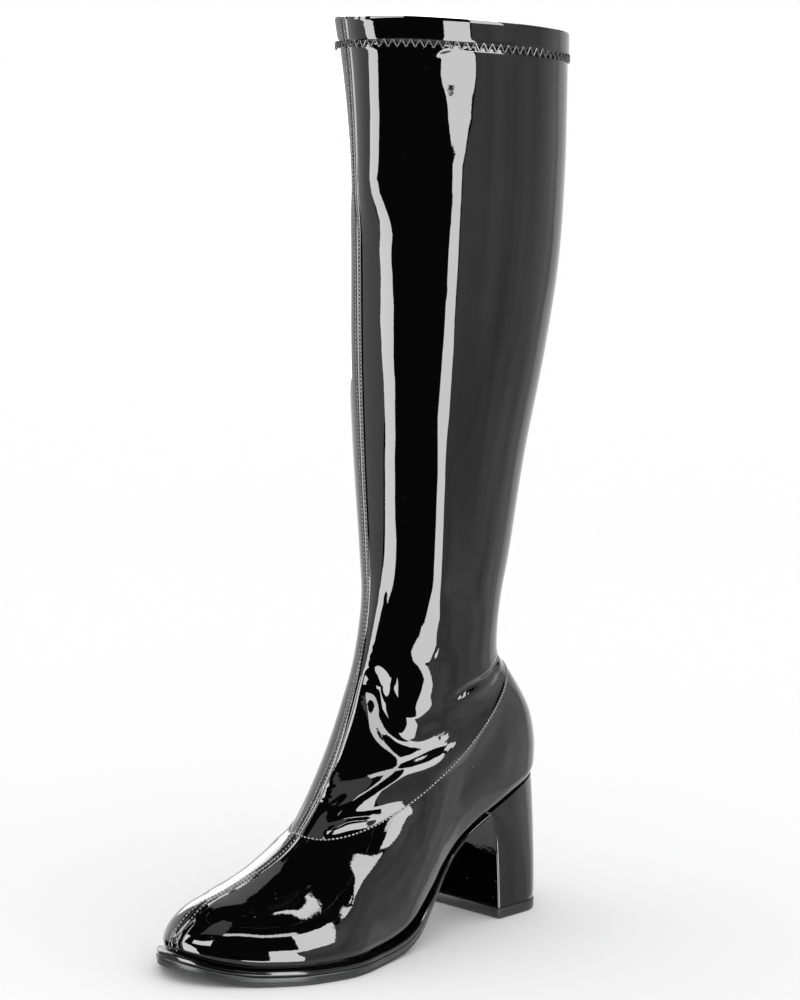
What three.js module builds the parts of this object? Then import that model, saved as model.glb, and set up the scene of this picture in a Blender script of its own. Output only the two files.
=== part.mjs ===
// A go go boot for the left foot, standing empty on its sole and its block heel.
// Millimetres, +Z up, toe towards -Y, outer side of the foot towards +X.
// The origin is the middle of the heel tip's flat face, on the floor.
import * as THREE from 'three';

// Driving sizes
const FOOT_LENGTH = 242.5; // from the back of the heel seat to the toe, along the lasted edge
const SEAT_BACK = 24; // how far the heel seat's back lies behind the origin
const BALL_WIDTH = 92; // across the ball, at the lasted edge
const HEEL_HEIGHT = 74; // floor to the heel seat, at its back
const BOOT_HEIGHT = 470; // floor to the collar
const COLLAR_DEPTH = 125.5; // front to back across the collar
const COLLAR_WIDTH = 109; // side to side across the collar
const WALL = 1.8; // patent upper with its lining
const GAP = 0.3; // left between two pieces that meet
const EDGE_SLACK = 0.3; // added where the upper's edge crosses the sole's curved top

// Sole
const WELT_THICK = 2.5;
const OUTSOLE_THICK = 5;
const WAIST_WELT = 0.8;
const WAIST_OUTSOLE = 1.3;
const SOLE_EDGE = 2.4; // how far the forepart's edge stands out past the upper
const WAIST_EDGE = 0.6; // the same at the waist
const SOLE_STEP_HEIGHT = 2.4; // the lower band of the outsole's side
const SOLE_STEP_IN = 0.5; // how far the lower band stands back
const SOLE_CHAMFER = 0.5; // along the outsole's lower edge
const WELT_ROUNDING = 0.35;
const TOE_SPRING = 6.2;
const SOLE_END = 0.224; // the place where the sole meets the heel's breast
const SOLE_STEPS = 26; // cuts along the sole, the welt and the insole
const INSOLE_THICK = 2;
const INSOLE_CLEAR = 1.3; // between the insole and the upper's lining

// Heel
const TIP_THICK = 5.6;
const TIP_GROOVE = 0.7; // the fine line between tip and block
const TIP_GROOVE_IN = 0.6;
const TIP_CHAMFER = 0.4;
const TIP_CHAMFER_HEIGHT = 0.6;
const HEEL_BREAST = 21.7; // from the origin forward to the breast, at the floor
const BREAST_RAKE = 2.4; // how far the breast leans forward on its way up
const BREAST_LIP = 5; // how far the breast sweeps forward under the seat
const LIP_SHARPNESS = 5; // a higher power keeps the sweep nearer the seat
const HEEL_BACK = 21.7;
const HEEL_HALF_WIDTH = 29.7;
const HEEL_TOP_HALF_WIDTH = 28.6;
const HEEL_WAIST = 0.4; // how far the back of the heel is drawn in at half its height
const HEEL_ROUND = 2; // 2 is a round back, and more is squarer
const SEAT_ROUND = 2.3;
const HEEL_ROUND_STEPS = 9;
const HEEL_LEVELS = [0, 0.2, 0.4, 0.6, 0.75, 0.88, 1];

// Details of the upper
const TOE_INWARD = 11.5; // how far the toe's tip lies to the inner side
const TOE_TURN = { from: 0.66, power: 1.3 }; // where the centre line leaves straight, and how fast
const RIDGE_INWARD = 4.5; // the instep's crest lies nearer the inner side
const RIDGE_FADE = { from: 1.02, to: 0.7 }; // places over which the crest comes back to the middle
const FOREPART = { from: 0.33, to: 0.48 }; // places over which the waist turns into the forepart
const QUARTER_BULGE = 3.5; // how far the quarters swell out over the lasted edge
const QUARTER = { from: 0.62, to: 0.42 }; // places over which that swelling grows
const SAG_SKEW = 0.65; // below 1, the sides hang lowest towards the front
const HEEL_CUP = 0.25; // the share of the foot's length that the counter rounds off
const DOME = { from: 0.36, to: 0.5 }; // places over which the vamp closes over the foot
const OUTER_DOME = { power: 2.2, root: 0.5 };
const INNER_DOME = { power: 2, root: 0.6 };
const LEAN_FROM = 0.55; // the share of its height from which the foot part leans to its seam
const SEAM_RAISE = 0.45; // the centre seam's raised band
const SEAM_GROOVE = 0.2; // the line down its middle
const HEM_HEIGHT = 13.6;
const HEM_RAISE = 0.7; // the folded hem is twice as thick
const STEP_ROWS = 0.03; // rows of the shaft's table over which a step in the wall is made

// Half widths of the lasted edge, as shares of the ball width, measured from the centre line.
// The place is a share of the foot's length from the heel's back to the toe.
const LASTED_EDGE = [
  { place: 0, outer: 0, inner: 0 },
  { place: 0.03, outer: 0.185, inner: 0.185 },
  { place: 0.1, outer: 0.286, inner: 0.286 },
  { place: 0.2, outer: 0.313, inner: 0.309 },
  { place: 0.32, outer: 0.31, inner: 0.304 },
  { place: 0.42, outer: 0.348, inner: 0.304 },
  { place: 0.52, outer: 0.415, inner: 0.332 },
  { place: 0.62, outer: 0.465, inner: 0.413 },
  { place: 0.72, outer: 0.515, inner: 0.488 },
  { place: 0.8, outer: 0.49, inner: 0.478 },
  { place: 0.88, outer: 0.402, inner: 0.403 },
  { place: 0.94, outer: 0.292, inner: 0.282 },
  { place: 0.98, outer: 0.178, inner: 0.148 },
  { place: 1, outer: 0, inner: 0 },
];

// The underside of the sole over the floor, as a share of the heel's height.
const UNDERSIDE = [
  { place: 0, height: 0.972 },
  { place: 0.1, height: 0.907 },
  { place: 0.22, height: 0.772 },
  { place: 0.31, height: 0.627 },
  { place: 0.37, height: 0.458 },
  { place: 0.43, height: 0.232 },
  { place: 0.49, height: 0.077 },
  { place: 0.55, height: 0.018 },
  { place: 0.62, height: 0 },
  { place: 0.82, height: 0 },
  { place: 0.9, height: 0.006 },
  { place: 0.95, height: 0.031 },
  { place: 1, height: TOE_SPRING / HEEL_HEIGHT },
];

// The ridge down the middle of the vamp and instep, in shares of length and of heel height.
const RIDGE = [
  { place: 0.455, height: 2.23 },
  { place: 0.488, height: 1.81 },
  { place: 0.531, height: 1.548 },
  { place: 0.571, height: 1.287 },
  { place: 0.626, height: 1.035 },
  { place: 0.68, height: 0.823 },
  { place: 0.706, height: 0.73 },
  { place: 0.77, height: 0.62 },
  { place: 0.857, height: 0.535 },
  { place: 0.914, height: 0.49 },
  { place: 0.948, height: 0.435 },
  { place: 0.972, height: 0.37 },
  { place: 0.988, height: 0.315 },
  { place: 0.997, height: 0.26 },
  { place: 1, height: 0.2 },
];

// The counter's back line, in shares of the seat's own overhang and of heel height.
const COUNTER_BACK = [
  { height: 0.95, back: 0.98 },
  { height: 1, back: 1 },
  { height: 1.11, back: 1.0625 },
  { height: 1.22, back: 1.042 },
  { height: 1.36, back: 0.9375 },
  { height: 1.51, back: 0.729 },
  { height: 1.66, back: 0.417 },
  { height: 1.8, back: 0.083 },
  { height: 1.9, back: -0.125 },
];

// Where the rings of the foot part start on the ridge, as shares of the foot's length.
const FOOT_RINGS = [1, 0.998, 0.993, 0.98, 0.95, 0.91, 0.86, 0.81, 0.765, 0.72, 0.678];

// Sections of the shaft, from the foot seam to the collar, in the columns named here.
// Front and back heights are shares of the boot's height, the middle is a share of the foot's
// length, depth and width are shares of the collar's, and the turn to the inner side is in
// degrees. Sag is how far the sides hang, as a share of the heel's height, and egg narrows the
// front.
const SHAFT_COLUMNS = ['front', 'back', 'middle', 'depth', 'width', 'turn', 'sag', 'egg'];
const SHAFT = [
  ['foot seam', 0.131, 0.2915, 0.3926, 1.103, 0.642, 3.7, 0.162, 0.12],
  ['low instep', 0.166, 0.3, 0.3728, 0.9625, 0.615, 4.3, 0.1216, 0.08],
  ['instep', 0.2065, 0.3105, 0.3513, 0.832, 0.587, 6, 0.0676, 0.04],
  ['bend', 0.253, 0.3235, 0.33, 0.733, 0.56, 8.7, 0.027, 0.02],
  ['over the bend', 0.3, 0.3447, 0.3105, 0.657, 0.546, 13, 0, 0],
  ['ankle', 0.366, 0.376, 0.2948, 0.6295, 0.5505, 15, 0, 0],
  ['lower leg', 0.4255, 0.4255, 0.2874, 0.667, 0.6147, 15, 0, 0],
  ['shin', 0.532, 0.532, 0.2792, 0.75, 0.725, 15, 0, 0],
  ['low calf', 0.638, 0.638, 0.2608, 0.846, 0.822, 15.5, 0, 0],
  ['calf', 0.745, 0.745, 0.2425, 0.911, 0.876, 17, 0, 0],
  ['high calf', 0.852, 0.85, 0.2403, 0.937, 0.9174, 18, 0, 0],
  ['under the hem', 0.94, 0.931, 0.2515, 0.964, 0.963, 17.5, 0, 0],
  ['collar', 1.006, 0.994, 0.2664, 1, 1, 16.5, 0, 0],
].map(([name, ...values]) => {
  const row = { name };
  SHAFT_COLUMNS.forEach((column, i) => {
    row[column] = values[i];
  });
  return row;
});
const LAST_ROW = SHAFT.length - 1;

// How finely the upper is cut up
const SIDE_STEPS = 16; // columns from front to back on each side
const SEAM_HALF = 3.4; // degrees round the ring from the seam's line to its band's edge
const SEAM_FOOT = 4.6; // the same to the foot of the band's edge
const SHAFT_STEP = 0.5; // in rows of the table above

// Small helpers
const clamp01 = (x) => Math.min(1, Math.max(0, x));
const mix = (a, b, w) => a + (b - a) * w;
const ease = (from, to, x) => {
  const w = clamp01((x - from) / (to - from));
  return w * w * (3 - 2 * w);
};
const over = (range, x) => ease(range.from, range.to, x);
const along = (place) => SEAT_BACK - place * FOOT_LENGTH;
const placeOf = (y) => (SEAT_BACK - y) / FOOT_LENGTH;

// A smooth curve through a table's column that never swings past its rows.
function through(rows, key, column, x) {
  const last = rows.length - 1;
  const sign = rows[last][key] > rows[0][key] ? 1 : -1;
  if (sign * (x - rows[0][key]) <= 0) return rows[0][column];
  if (sign * (x - rows[last][key]) >= 0) return rows[last][column];
  let i = 0;
  while (sign * (rows[i + 1][key] - x) < 0) i += 1;
  const rise = (a) => rows[a + 1][column] - rows[a][column];
  const slope = (a) => rise(a) / (rows[a + 1][key] - rows[a][key]);
  const tangent = (a) => {
    if (a === 0) return slope(0);
    if (a === last) return slope(last - 1);
    const before = slope(a - 1);
    const after = slope(a);
    return before * after <= 0 ? 0 : (2 * before * after) / (before + after);
  };
  const span = rows[i + 1][key] - rows[i][key];
  const t = (x - rows[i][key]) / span;
  const rest = 1 - t;
  const low = (1 + 2 * t) * rows[i][column] + t * span * tangent(i);
  const high = (3 - 2 * t) * rows[i + 1][column] - rest * span * tangent(i + 1);
  return rest * rest * low + t * t * high;
}

// The lasted edge's rows keyed by the angle that makes both round ends smooth.
const endAngle = (place) => Math.acos(1 - 2 * clamp01(place));
const EDGE_BY_ANGLE = LASTED_EDGE.map((row) => ({ ...row, angle: endAngle(row.place) }));

// Heights and widths along the foot
const toeShare = (place) => clamp01((place - TOE_TURN.from) / (1 - TOE_TURN.from));
const centreLine = (place) => -TOE_INWARD * Math.pow(toeShare(place), TOE_TURN.power);
const ridgeInward = (place) => RIDGE_INWARD * over(RIDGE_FADE, place);
const forepart = (place) => over(FOREPART, place);
const undersideHeight = (place) => HEEL_HEIGHT * through(UNDERSIDE, 'place', 'height', place);
const outsoleThickness = (place) => mix(WAIST_OUTSOLE, OUTSOLE_THICK, forepart(place));
const weltThickness = (place) => mix(WAIST_WELT, WELT_THICK, forepart(place));
const outsoleTop = (place) => undersideHeight(place) + outsoleThickness(place);
const edgeHeight = (place) => outsoleTop(place) + weltThickness(place);
const ridgeHeight = (place) => HEEL_HEIGHT * through(RIDGE, 'place', 'height', place);
const halfWidth = (place, side) =>
  BALL_WIDTH * through(EDGE_BY_ANGLE, 'angle', side > 0 ? 'outer' : 'inner', endAngle(place));
const counterBack = (z) => SEAT_BACK * through(COUNTER_BACK, 'height', 'back', z / HEEL_HEIGHT);

// The shaft's columns at a place between its rows.
function shaftRow(t) {
  const i = Math.min(LAST_ROW - 1, Math.floor(t));
  const w = t - i;
  const row = {};
  for (const column of SHAFT_COLUMNS) {
    const low = SHAFT[i][column];
    const high = SHAFT[i + 1][column];
    const before = i > 0 ? SHAFT[i - 1][column] : 2 * low - high;
    const after = i < LAST_ROW - 1 ? SHAFT[i + 2][column] : 2 * high - low;
    const slopeLow = (high - before) / 2;
    const slopeHigh = (after - low) / 2;
    const cubic = 2 * low - 2 * high + slopeLow + slopeHigh;
    const square = -3 * low + 3 * high - 2 * slopeLow - slopeHigh;
    row[column] = ((cubic * w + square) * w + slopeLow) * w + low;
  }
  return row;
}

const sagDrop = (sag, share) => sag * HEEL_HEIGHT * Math.sin(Math.PI * Math.pow(share, SAG_SKEW));

// A point of a shaft section. The angle runs from the front (0) over the outer side.
function shaftPoint(t, angle) {
  const row = shaftRow(t);
  const share = (1 - Math.cos(angle)) / 2;
  const forward = (-Math.cos(angle) * row.depth * COLLAR_DEPTH) / 2;
  const narrowing = 1 - row.egg * Math.cos(angle);
  const across = (Math.sin(angle) * narrowing * row.width * COLLAR_WIDTH) / 2;
  const turn = THREE.MathUtils.degToRad(row.turn);
  return new THREE.Vector3(
    across * Math.cos(turn) + forward * Math.sin(turn),
    along(row.middle) + forward * Math.cos(turn) - across * Math.sin(turn),
    mix(row.front, row.back, share) * BOOT_HEIGHT - sagDrop(row.sag, share),
  );
}

// The foot seam's height over a place of the foot.
const SEAM = SHAFT[0];
const seamFront = along(SEAM.middle) - (SEAM.depth * COLLAR_DEPTH) / 2;
const seamBack = along(SEAM.middle) + (SEAM.depth * COLLAR_DEPTH) / 2;
function seamHeight(y) {
  const share = clamp01((y - seamFront) / (seamBack - seamFront));
  return mix(SEAM.front, SEAM.back, share) * BOOT_HEIGHT - sagDrop(SEAM.sag, share);
}

// A point of the foot part. The ring starts at a place on the ridge and ends on the counter.
function footPoint(ridgePlace, angle) {
  const side = Math.sin(angle) >= 0 ? 1 : -1;
  const frontY = along(ridgePlace);
  const lowest = edgeHeight(ridgePlace);
  const rise = clamp01((ridgeHeight(ridgePlace) - lowest) / (seamHeight(frontY) - lowest));
  const backZ = mix(HEEL_HEIGHT, seamHeight(seamBack), rise);
  const backPlace = placeOf(counterBack(backZ));
  const y = mix(frontY, along(backPlace), (1 - Math.cos(angle)) / 2);
  const place = placeOf(y);
  const cupPlace = (HEEL_CUP * (place - backPlace)) / (HEEL_CUP - backPlace);
  const edgePlace = clamp01(place < HEEL_CUP ? cupPlace : place);
  const low = edgeHeight(edgePlace);
  const z = mix(low, Math.max(seamHeight(y), low), rise);
  const height = ridgeHeight(place) > z ? (z - low) / (ridgeHeight(place) - low) : 1;
  const domed = clamp01(height) * over(DOME, place);
  const curve = side > 0 ? OUTER_DOME : INNER_DOME;
  const narrowing = Math.pow(1 - Math.pow(domed, curve.power), curve.root);
  const swell = Math.sin(Math.PI * rise) * over(QUARTER, place) * Math.abs(Math.sin(angle));
  const half = (halfWidth(edgePlace, side) + QUARTER_BULGE * swell) * narrowing;
  const x = centreLine(place) - ridgeInward(place) * domed * domed + side * half;
  return new THREE.Vector3(x, y, z).lerp(shaftPoint(0, angle), ease(LEAN_FROM, 1, rise));
}

// The columns of the upper: a raised band along the centre seam, then even steps to the back.
const BAND = [0, SEAM_HALF, SEAM_FOOT].map(THREE.MathUtils.degToRad);
const OUTER_COLUMNS = [...BAND];
for (let i = 1; i < SIDE_STEPS; i += 1) OUTER_COLUMNS.push(mix(BAND[2], Math.PI, i / SIDE_STEPS));
const INNER_COLUMNS = OUTER_COLUMNS.slice(1).reverse().map((angle) => -angle);
const COLUMNS = [...OUTER_COLUMNS, Math.PI, ...INNER_COLUMNS];
function seamRaise(column) {
  const steps = Math.min(column, COLUMNS.length - column);
  if (steps === 0) return SEAM_RAISE - SEAM_GROOVE;
  return steps === 1 ? SEAM_RAISE : 0;
}

// The rings of the upper from the lasted edge to the collar, with what each is raised by.
const topRowHeight = (SHAFT[LAST_ROW].front - SHAFT[LAST_ROW - 1].front) * BOOT_HEIGHT;
const HEM_ROW = LAST_ROW - HEM_HEIGHT / topRowHeight;
const RINGS = FOOT_RINGS.map((place) => ({ raise: 0, at: (angle) => footPoint(place, angle) }));
const SEAM_RING = RINGS.length - 1;
const shaftRows = [];
for (let t = SHAFT_STEP; t < HEM_ROW - SHAFT_STEP / 2; t += SHAFT_STEP) shaftRows.push({ t, raise: 0 });
shaftRows.push({ t: HEM_ROW - STEP_ROWS, raise: 0 });
shaftRows.push({ t: HEM_ROW, raise: HEM_RAISE });
shaftRows.push({ t: LAST_ROW - STEP_ROWS, raise: HEM_RAISE });
shaftRows.push({ t: LAST_ROW, raise: HEM_RAISE / 2 });
for (const { t, raise } of shaftRows) RINGS.push({ raise, at: (angle) => shaftPoint(t, angle) });

const GRID = RINGS.map((ring) => COLUMNS.map((angle) => ring.at(angle)));

function gridNormal(ring, column) {
  const above = GRID[Math.min(ring + 1, GRID.length - 1)][column];
  const below = GRID[Math.max(ring - 1, 0)][column];
  const next = GRID[ring][(column + 1) % COLUMNS.length];
  const before = GRID[ring][(column + COLUMNS.length - 1) % COLUMNS.length];
  const up = above.clone().sub(below);
  const round = next.clone().sub(before);
  const normal = round.cross(up);
  if (ring === 0 || ring === GRID.length - 1) normal.z = 0; // level edges at sole and collar
  return normal.normalize();
}

const NORMALS = GRID.map((ring, r) => ring.map((_, c) => gridNormal(r, c)));

// One closed body from a list of triangles given by corner points, with its faces pointing out.
class Solid {
  constructor() {
    this.points = [];
    this.faces = [];
  }

  loop(points) {
    const first = this.points.length;
    this.points.push(...points);
    return points.map((_, i) => first + i);
  }

  // A quad, or the triangle that is left of it where two corners are the same point.
  quad(...corners) {
    const [a, b, c, d] = [...new Set(corners)];
    this.faces.push([a, b, c]);
    if (d !== undefined) this.faces.push([a, c, d]);
  }

  // The wall between two closed loops of the same count.
  wall(low, high) {
    low.forEach((_, i) => {
      const j = (i + 1) % low.length;
      this.quad(low[i], low[j], high[j], high[i]);
    });
  }

  geometry() {
    let volume = 0;
    for (const face of this.faces) {
      const [a, b, c] = face.map((i) => this.points[i]);
      volume += a.dot(b.clone().cross(c));
    }
    const faces = volume > 0 ? this.faces : this.faces.map(([a, b, c]) => [a, c, b]);
    const geometry = new THREE.BufferGeometry();
    const numbers = this.points.flatMap((p) => [p.x, p.y, p.z]);
    geometry.setAttribute('position', new THREE.Float32BufferAttribute(numbers, 3));
    geometry.setIndex(faces.flat());
    geometry.computeVertexNormals();
    return geometry;
  }
}

// A hollow shell between two rings of the grid, lifted off its neighbours at either end.
function shell(firstRing, lastRing, liftFirst, liftLast) {
  const solid = new Solid();
  const outer = [];
  const inner = [];
  for (let r = firstRing; r <= lastRing; r += 1) {
    const lift = new THREE.Vector3();
    if (r === firstRing) lift.z = liftFirst;
    if (r === lastRing) lift.z = liftLast;
    const at = (c, out) => GRID[r][c].clone().addScaledVector(NORMALS[r][c], out).add(lift);
    outer.push(solid.loop(COLUMNS.map((_, c) => at(c, RINGS[r].raise + seamRaise(c)))));
    inner.push(solid.loop(COLUMNS.map((_, c) => at(c, -WALL))));
  }
  for (let i = 1; i < outer.length; i += 1) {
    solid.wall(outer[i - 1], outer[i]);
    solid.wall(inner[i], inner[i - 1]);
  }
  solid.wall(inner[0], outer[0]);
  solid.wall(outer[outer.length - 1], inner[inner.length - 1]);
  return solid.geometry();
}

// Places along the sole, close together at the toe and, where it is round there, at the heel.
function placesFrom(back) {
  const places = [];
  const turn = back === 0 ? Math.PI : Math.PI / 2;
  for (let i = 0; i <= SOLE_STEPS; i += 1) {
    const share = (1 - Math.cos((turn * i) / SOLE_STEPS)) / (1 - Math.cos(turn));
    places.push(1 - (1 - back) * share);
  }
  return places;
}

// The lasted edge seen from above, pushed out sideways, as two lists from the toe backwards.
function planEdge(places, out) {
  const at = (place, sign) => centreLine(place) + sign * halfWidth(place, sign);
  const side = (sign) => places.map((place) => new THREE.Vector2(at(place, sign), along(place)));
  const outer = side(1);
  const inner = side(-1);
  const last = places.length - 1;
  const push = (list, other, i, sign) => {
    const before = i === 0 ? other[1] : list[i - 1];
    const end = places[last] === 0 ? other[last - 1] : list[last];
    const after = i === last ? end : list[i + 1];
    const run = after.clone().sub(before).normalize();
    const outward = new THREE.Vector2(run.y, -run.x);
    return list[i].clone().addScaledVector(outward, sign * out(places[i]));
  };
  return {
    outer: outer.map((_, i) => push(outer, inner, i, 1)),
    inner: inner.map((_, i) => push(inner, outer, i, -1)),
  };
}

// A flat-sided slab that follows the lasted edge: one level for each change of its side.
function slab(places, levels) {
  const solid = new Solid();
  const count = places.length;
  const roundBack = places[count - 1] === 0;
  const ringOf = ({ out, height }) => {
    const { outer, inner } = planEdge(places, out);
    const lift = (point, i) => new THREE.Vector3(point.x, point.y, height(places[i]));
    const innerKept = inner.map(lift).slice(1, roundBack ? count - 1 : count);
    return solid.loop([...outer.map(lift), ...innerKept.reverse()]);
  };
  const rings = levels.map(ringOf);
  for (let i = 1; i < rings.length; i += 1) solid.wall(rings[i - 1], rings[i]);
  const cap = (ring, flip) => {
    const single = (i) => i === 0 || (roundBack && i === count - 1);
    const mate = (i) => (single(i) ? ring[i] : ring[ring.length - i]);
    for (let i = 0; i < count - 1; i += 1) {
      const corners = [ring[i], ring[i + 1], mate(i + 1), mate(i)];
      solid.quad(...(flip ? corners.reverse() : corners));
    }
  };
  cap(rings[0], true);
  cap(rings[rings.length - 1], false);
  return solid.geometry();
}

const soleEdge = (place) => mix(WAIST_EDGE, SOLE_EDGE, forepart(place));

function outsole() {
  const bandShare = SOLE_STEP_HEIGHT / OUTSOLE_THICK;
  const chamferShare = SOLE_CHAMFER / OUTSOLE_THICK;
  const stepShare = bandShare + SOLE_STEP_IN / OUTSOLE_THICK;
  const bandEdge = (place) => soleEdge(place) - SOLE_STEP_IN * forepart(place);
  const at = (share) => (place) => undersideHeight(place) + share * outsoleThickness(place);
  return slab(placesFrom(SOLE_END), [
    { out: (place) => bandEdge(place) - SOLE_CHAMFER, height: undersideHeight },
    { out: bandEdge, height: at(chamferShare) },
    { out: bandEdge, height: at(bandShare) },
    { out: soleEdge, height: at(stepShare) },
    { out: soleEdge, height: (place) => outsoleTop(place) - GAP },
  ]);
}

function welt() {
  const at = (share) => (place) => mix(outsoleTop(place), edgeHeight(place), share);
  const roundShare = WELT_ROUNDING / WELT_THICK;
  return slab(placesFrom(SOLE_END), [
    { out: (place) => soleEdge(place) - WELT_ROUNDING, height: outsoleTop },
    { out: soleEdge, height: at(roundShare) },
    { out: soleEdge, height: at(1 - 2 * roundShare) },
    { out: (place) => soleEdge(place) - 2 * WELT_ROUNDING, height: edgeHeight },
  ]);
}

function insole() {
  const inside = () => -(WALL + INSOLE_CLEAR);
  return slab(placesFrom(0), [
    { out: inside, height: (place) => edgeHeight(place) + GAP },
    { out: inside, height: (place) => edgeHeight(place) + GAP + INSOLE_THICK },
  ]);
}

// One level of the heel: a D with a flat breast and a round back. Rise 0 is the floor end and
// rise 1 is the seat under the upper.
function heelSection(rise, inset) {
  const lip = BREAST_LIP * Math.pow(rise, LIP_SHARPNESS);
  const breast = -HEEL_BREAST - BREAST_RAKE * rise - lip + inset;
  const waist = HEEL_WAIST * Math.sin(Math.PI * rise);
  const back = mix(HEEL_BACK, SEAT_BACK, ease(0, 1, rise)) - waist - inset;
  const half = mix(HEEL_HALF_WIDTH, HEEL_TOP_HALF_WIDTH, rise) - inset;
  const straight = mix(0, breast, rise * rise);
  const power = mix(HEEL_ROUND, SEAT_ROUND, rise);
  const turn = mix(breast, straight, 0.5);
  const points = [];
  for (let i = 0; i <= HEEL_ROUND_STEPS + 1; i += 1) {
    const share = Math.sin(((Math.PI / 2) * Math.max(0, i - 1)) / HEEL_ROUND_STEPS);
    const y = i === 0 ? breast : mix(turn, back, share);
    const round = clamp01((y - straight) / (back - straight));
    points.push(new THREE.Vector2(half * Math.pow(1 - Math.pow(round, power), 1 / power), y));
  }
  return points;
}

function heelStack(levels) {
  const solid = new Solid();
  const count = HEEL_ROUND_STEPS + 2;
  const rings = levels.map(({ rise, inset, height }) => {
    const outer = heelSection(rise, inset).map((p) => new THREE.Vector3(p.x, p.y, height(p.y)));
    const kept = outer.slice(0, count - 1).reverse();
    const inner = kept.map((p) => new THREE.Vector3(-p.x, p.y, p.z));
    return solid.loop([...outer, ...inner]);
  });
  for (let i = 1; i < rings.length; i += 1) solid.wall(rings[i - 1], rings[i]);
  const cap = (ring, flip) => {
    const last = ring.length - 1;
    for (let i = 0; i < count - 1; i += 1) {
      const corners = [ring[i], ring[i + 1], ring[last - 1 - i], ring[last - i]];
      solid.quad(...(flip ? corners.reverse() : corners));
    }
  };
  cap(rings[0], true);
  cap(rings[rings.length - 1], false);
  return solid.geometry();
}

function heelBlock() {
  const foot = TIP_THICK + GAP;
  const seat = (y) => edgeHeight(placeOf(y));
  const levelAt = (rise) => {
    const height = (y) => mix(foot + TIP_GROOVE, seat(y), rise);
    return { rise, inset: 0, height };
  };
  return heelStack([
    { rise: 0, inset: TIP_GROOVE_IN, height: () => foot },
    { rise: 0, inset: TIP_GROOVE_IN, height: () => foot + TIP_GROOVE / 2 },
    ...HEEL_LEVELS.map(levelAt),
  ]);
}

function heelTip() {
  return heelStack([
    { rise: 0, inset: TIP_CHAMFER, height: () => 0 },
    { rise: 0, inset: 0, height: () => TIP_CHAMFER_HEIGHT },
    { rise: 0, inset: 0, height: () => TIP_THICK - TIP_CHAMFER },
    { rise: 0, inset: TIP_CHAMFER, height: () => TIP_THICK },
  ]);
}

// Looks
function look(color, roughness) {
  return new THREE.MeshStandardMaterial({ color, roughness, metalness: 0 });
}
const patent = look(0x0a0a0b, 0.08);
const edgeBlack = look(0x141416, 0.25);
const rubber = look(0x303134, 0.6);
const lining = look(0x1c1c1e, 0.8);

// The boot
const boot = new THREE.Group();
function add(name, geometry, material) {
  const mesh = new THREE.Mesh(geometry, material.clone());
  mesh.name = name;
  boot.add(mesh);
}

add('foot_upper', shell(0, SEAM_RING, GAP + EDGE_SLACK, -GAP / 2), patent);
add('shaft', shell(SEAM_RING, GRID.length - 1, GAP / 2, 0), patent);
add('insole', insole(), lining);
add('welt', welt(), edgeBlack);
add('outsole', outsole(), rubber);
add('heel_block', heelBlock(), patent);
add('heel_tip', heelTip(), rubber);

export default boot;
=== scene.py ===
# %% [markdown]
# # A go go boot in black patent
# This notebook dresses a ready-made model of a knee-high boot. The real boot has four visible
# finishes: a glossy foot part, a stretchy glossy leg, a sole in bands of black rubber, and a heel
# block covered in the same patent. Each cell makes one of them, or one row of its stitching.

# %% Load the imported boot and set the size of a millimetre
import bpy
import numpy as np
from mathutils import Matrix, Vector


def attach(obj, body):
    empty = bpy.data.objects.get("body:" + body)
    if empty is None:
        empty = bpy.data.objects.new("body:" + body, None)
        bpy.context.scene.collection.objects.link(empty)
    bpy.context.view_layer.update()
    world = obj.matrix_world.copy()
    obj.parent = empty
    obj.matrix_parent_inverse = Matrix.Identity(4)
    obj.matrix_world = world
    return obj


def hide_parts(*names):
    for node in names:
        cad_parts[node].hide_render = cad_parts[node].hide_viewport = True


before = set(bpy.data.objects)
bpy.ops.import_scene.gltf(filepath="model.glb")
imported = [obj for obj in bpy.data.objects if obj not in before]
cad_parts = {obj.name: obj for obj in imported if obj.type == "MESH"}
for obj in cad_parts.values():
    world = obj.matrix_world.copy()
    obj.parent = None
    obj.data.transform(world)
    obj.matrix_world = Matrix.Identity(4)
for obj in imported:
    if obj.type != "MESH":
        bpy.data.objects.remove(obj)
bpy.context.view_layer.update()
MM = 0.001
print("packed nodes:", sorted(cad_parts))

# %% [markdown]
# ## Sizes of the last
# A shoe is drawn on a last, the foot-shaped form that it is pulled over. The same few sizes and
# tables that shaped the model are repeated here in metres, so that the skins can be cut far finer
# than the model while they stay on its surface.

# %% Driving sizes and tables
FOOT_LENGTH = 242.5 * MM
SEAT_BACK = 24 * MM
BALL_WIDTH = 92 * MM
HEEL_HEIGHT = 74 * MM
BOOT_HEIGHT = 470 * MM
COLLAR_DEPTH = 125.5 * MM
COLLAR_WIDTH = 109 * MM
TOE_INWARD = 11.5 * MM
RIDGE_INWARD = 4.5 * MM
QUARTER_BULGE = 3.5 * MM
WALL = 1.8 * MM
GAP = 0.3 * MM
WELT_THICK = 2.5 * MM
OUTSOLE_THICK = 5 * MM
WAIST_WELT = 0.8 * MM
WAIST_OUTSOLE = 1.3 * MM
TOE_SPRING = 6.2 * MM


def table(columns, *rows):
    """A table with named columns."""
    values = np.array(rows, float)
    return {name: values[:, i] for i, name in enumerate(columns.split())}


# Half widths of the lasted edge, in shares of the ball width, from the heel's back to the toe.
LASTED_EDGE = table(
    "place outer inner",
    (0, 0, 0), (0.03, 0.185, 0.185), (0.1, 0.286, 0.286), (0.2, 0.313, 0.309),
    (0.32, 0.31, 0.304), (0.42, 0.348, 0.304), (0.52, 0.415, 0.332), (0.62, 0.465, 0.413),
    (0.72, 0.515, 0.488), (0.8, 0.49, 0.478), (0.88, 0.402, 0.403), (0.94, 0.292, 0.282),
    (0.98, 0.178, 0.148), (1, 0, 0),
)
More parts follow.
